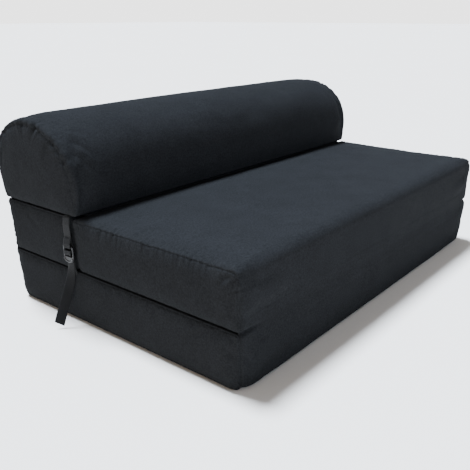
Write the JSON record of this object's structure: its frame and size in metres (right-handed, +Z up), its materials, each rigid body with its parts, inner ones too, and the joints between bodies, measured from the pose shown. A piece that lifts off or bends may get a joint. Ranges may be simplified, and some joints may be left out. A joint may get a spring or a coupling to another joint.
{
  "type": "futon mattress",
  "caption": "Fold-out foam mattress stacked as a low sofa: base slab, seat slab, back block and arched bolster in cloth covers, with strap and buckle at each end.",
  "frame": {"origin": "centre of the folded object on the floor, under its bounding box", "axes": "+Z up, front faces -Y, +X along its length to the right as seen from the front"},
  "size_m": [1.3134, 0.8326, 0.5],
  "materials": {
    "cover_cloth": "matt charcoal-black plain-weave cover cloth",
    "foam": "open-cell polyurethane foam block, about 22 kg/m3",
    "webbing": "black ribbed polypropylene webbing, 25 mm wide",
    "buckle_plastic": "black moulded acetal, satin gloss",
    "zip_tape": "black woven zip tape",
    "zip_coil": "black nylon zip coil",
    "zip_metal": "black-painted cast zip slider"
  },
  "bodies": {
    "base": {"base_wrap": "cover_cloth", "base_foam": "foam", "base_left_end": "cover_cloth", "base_right_end": "cover_cloth", "base_zip_tape": "zip_tape", "base_zip_coil": "zip_coil", "base_zip_stops": "zip_metal", "front_hinge": "cover_cloth", "rear_hinge": "cover_cloth", "left_lower_strap": "webbing", "left_strap_tail": "webbing", "right_lower_strap": "webbing", "right_strap_tail": "webbing"},
    "seat": {"seat_wrap": "cover_cloth", "seat_foam": "foam", "seat_left_end": "cover_cloth", "seat_right_end": "cover_cloth", "seat_zip_tape": "zip_tape", "seat_zip_coil": "zip_coil", "seat_zip_stops": "zip_metal"},
    "back": {"back_wrap": "cover_cloth", "back_foam": "foam", "back_left_end": "cover_cloth", "back_right_end": "cover_cloth", "back_zip_tape": "zip_tape", "back_zip_coil": "zip_coil", "back_zip_stops": "zip_metal", "bolster_hinge": "cover_cloth"},
    "bolster": {"bolster_wrap": "cover_cloth", "bolster_foam": "foam", "bolster_left_end": "cover_cloth", "bolster_right_end": "cover_cloth", "bolster_zip_tape": "zip_tape", "bolster_zip_coil": "zip_coil", "bolster_zip_stops": "zip_metal", "left_strap_patch": "webbing", "right_strap_patch": "webbing"},
    "base_slider": {"base_zip_slider": "zip_metal"},
    "base_pull": {"base_zip_pull": "zip_metal"},
    "seat_slider": {"seat_zip_slider": "zip_metal"},
    "back_slider": {"back_zip_slider": "zip_metal"},
    "back_pull": {"back_zip_pull": "zip_metal"},
    "bolster_slider": {"bolster_zip_slider": "zip_metal"},
    "bolster_pull": {"bolster_zip_pull": "zip_metal"},
    "left_strap": {"left_upper_strap": "webbing"},
    "left_buckle": {"left_buckle": "buckle_plastic"},
    "right_strap": {"right_upper_strap": "webbing"},
    "right_buckle": {"right_buckle": "buckle_plastic"}
  },
  "joints": [
    {"name": "seat_fold", "type": "hinge", "parent": "base", "child": "seat", "pos_m": [0, -0.42, 0.143], "axis": [1, 0, 0], "range_deg": [0, 180], "deforming": ["front_hinge"]},
    {"name": "back_fold", "type": "hinge", "parent": "base", "child": "back", "pos_m": [0, 0.396, 0.143], "axis": [-1, 0, 0], "range_deg": [0, 180], "deforming": ["rear_hinge", "left_lower_strap", "left_strap_tail", "right_lower_strap", "right_strap_tail"]},
    {"name": "bolster_fold", "type": "hinge", "parent": "back", "child": "bolster", "pos_m": [0, 0.09, 0.283], "axis": [1, 0, 0], "range_deg": [0, 180], "deforming": ["bolster_hinge"]},
    {"name": "left_strap_swing", "type": "hinge", "parent": "bolster", "child": "left_strap", "pos_m": [-0.601, 0.1245, 0.283], "axis": [0, 1, 0], "range_deg": [0, 90]},
    {"name": "left_buckle_tilt", "type": "hinge", "parent": "left_strap", "child": "left_buckle", "pos_m": [-0.609, 0.1245, 0.208], "axis": [0, 1, 0], "range_deg": [0, 60]},
    {"name": "right_strap_swing", "type": "hinge", "parent": "bolster", "child": "right_strap", "pos_m": [0.601, 0.1245, 0.283], "axis": [0, -1, 0], "range_deg": [0, 90]},
    {"name": "right_buckle_tilt", "type": "hinge", "parent": "right_strap", "child": "right_buckle", "pos_m": [0.609, 0.1245, 0.208], "axis": [0, -1, 0], "range_deg": [0, 60]},
    {"name": "base_zip_slide", "type": "slide", "parent": "base", "child": "base_slider", "axis": [-1, 0, 0], "range_m": [0, 1.04]},
    {"name": "base_pull_swing", "type": "hinge", "parent": "base_slider", "child": "base_pull", "pos_m": [0.52, 0.3938, 0.045], "axis": [1, 0, 0], "range_deg": [0, 180]},
    {"name": "seat_zip_slide", "type": "slide", "parent": "seat", "child": "seat_slider", "axis": [-1, 0, 0], "range_m": [0, 1.04]},
    {"name": "back_zip_slide", "type": "slide", "parent": "back", "child": "back_slider", "axis": [-1, 0, 0], "range_m": [0, 1.04]},
    {"name": "back_pull_swing", "type": "hinge", "parent": "back_slider", "child": "back_pull", "pos_m": [0.52, 0.3938, 0.213], "axis": [1, 0, 0], "range_deg": [0, 180]},
    {"name": "bolster_zip_slide", "type": "slide", "parent": "bolster", "child": "bolster_slider", "axis": [-1, 0, 0], "range_m": [0, 1.04]},
    {"name": "bolster_pull_swing", "type": "hinge", "parent": "bolster_slider", "child": "bolster_pull", "pos_m": [0.52, 0.4148, 0.322], "axis": [1, 0, 0], "range_deg": [0, 180]}
  ],
  "couplings": [
    {"joint": "bolster_fold", "follows": "back_fold", "ratio": 1},
    {"joint": "left_strap_swing", "follows": "back_fold", "ratio": 0.5},
    {"joint": "right_strap_swing", "follows": "back_fold", "ratio": 0.5}
  ]
}
